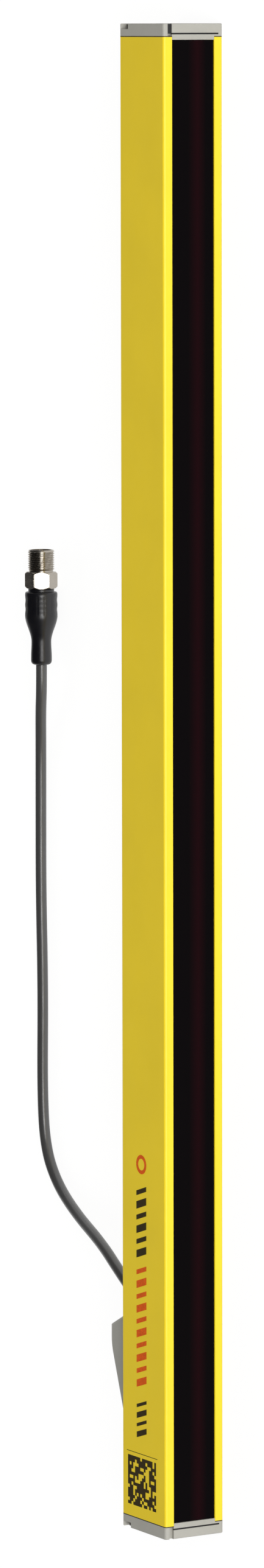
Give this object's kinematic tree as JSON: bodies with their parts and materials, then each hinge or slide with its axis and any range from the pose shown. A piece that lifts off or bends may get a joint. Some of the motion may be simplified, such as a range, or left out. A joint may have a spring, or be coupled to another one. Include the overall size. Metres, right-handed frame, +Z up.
{
  "type": "safety light curtain",
  "caption": "Slim yellow light curtain bar with a dark front window, grey end caps, a rear mounting slot and a moulded lead that ends in a round plug.",
  "frame": {"origin": "on the resting side, half way along the bar and half way between window face and back face", "axes": "+X along the bar from the lower end, where the lead leaves, to the upper end; -Y out of the window; +Z up, out of the printed side"},
  "size_m": [0.666, 0.1565, 0.03],
  "materials": {
    "yellow_powder_coat": "satin powder coat",
    "dark_window": "gloss",
    "black_rubber": "matte",
    "grey_diecast": "fine blasted",
    "steel": "satin",
    "cream_plastic": "matte",
    "green_board": "satin",
    "black_plastic": "matte",
    "milky_lens": "gloss",
    "clear_plastic": "clear",
    "grey_plastic": "matte",
    "grey_sheath": "satin",
    "black_overmould": "satin",
    "gold_contact": "bright",
    "nickel_plate": "bright"
  },
  "bodies": {
    "curtain": {"board_connectors": "cream_plastic", "cable": "grey_sheath", "cable_grommet": "black_rubber", "cable_outlet": "grey_plastic", "contact_insert": "black_plastic", "contact_pins": "gold_contact", "controller_board": "green_board", "controller_chips": "black_plastic", "core_loom": "black_plastic", "display_board": "green_board", "earth_spring": "steel", "end_buffer": "black_rubber", "front_window": "dark_window", "housing_profile": "yellow_powder_coat", "lead_header": "cream_plastic", "lens_strip_1": "clear_plastic", "lens_strip_2": "clear_plastic", "lens_strip_3": "clear_plastic", "light_guide": "clear_plastic", "lower_cap_gasket": "black_rubber", "lower_cap_screws": "steel", "lower_end_cap": "grey_diecast", "optics_carrier_1": "black_plastic", "optics_carrier_2": "black_plastic", "optics_carrier_3": "black_plastic", "outlet_gasket": "black_rubber", "outlet_screw": "steel", "photodiodes_1": "black_plastic", "photodiodes_2": "black_plastic", "photodiodes_3": "black_plastic", "plug_body": "black_overmould", "power_parts": "black_plastic", "receiver_board_1": "green_board", "receiver_board_2": "green_board", "receiver_board_3": "green_board", "status_lights": "milky_lens", "upper_cap_gasket": "black_rubber", "upper_cap_screws": "steel", "upper_end_cap": "grey_diecast", "window_seal_printed_side": "black_rubber", "window_seal_resting_side": "black_rubber"},
    "coupling_nut": {"coupling_nut": "nickel_plate"}
  },
  "joints": [
    {"name": "nut_turn", "type": "hinge", "parent": "curtain", "child": "coupling_nut", "pos_m": [0.0778, 0.1259, 0.0076], "axis": [1, 0, 0], "continuous": true}
  ]
}
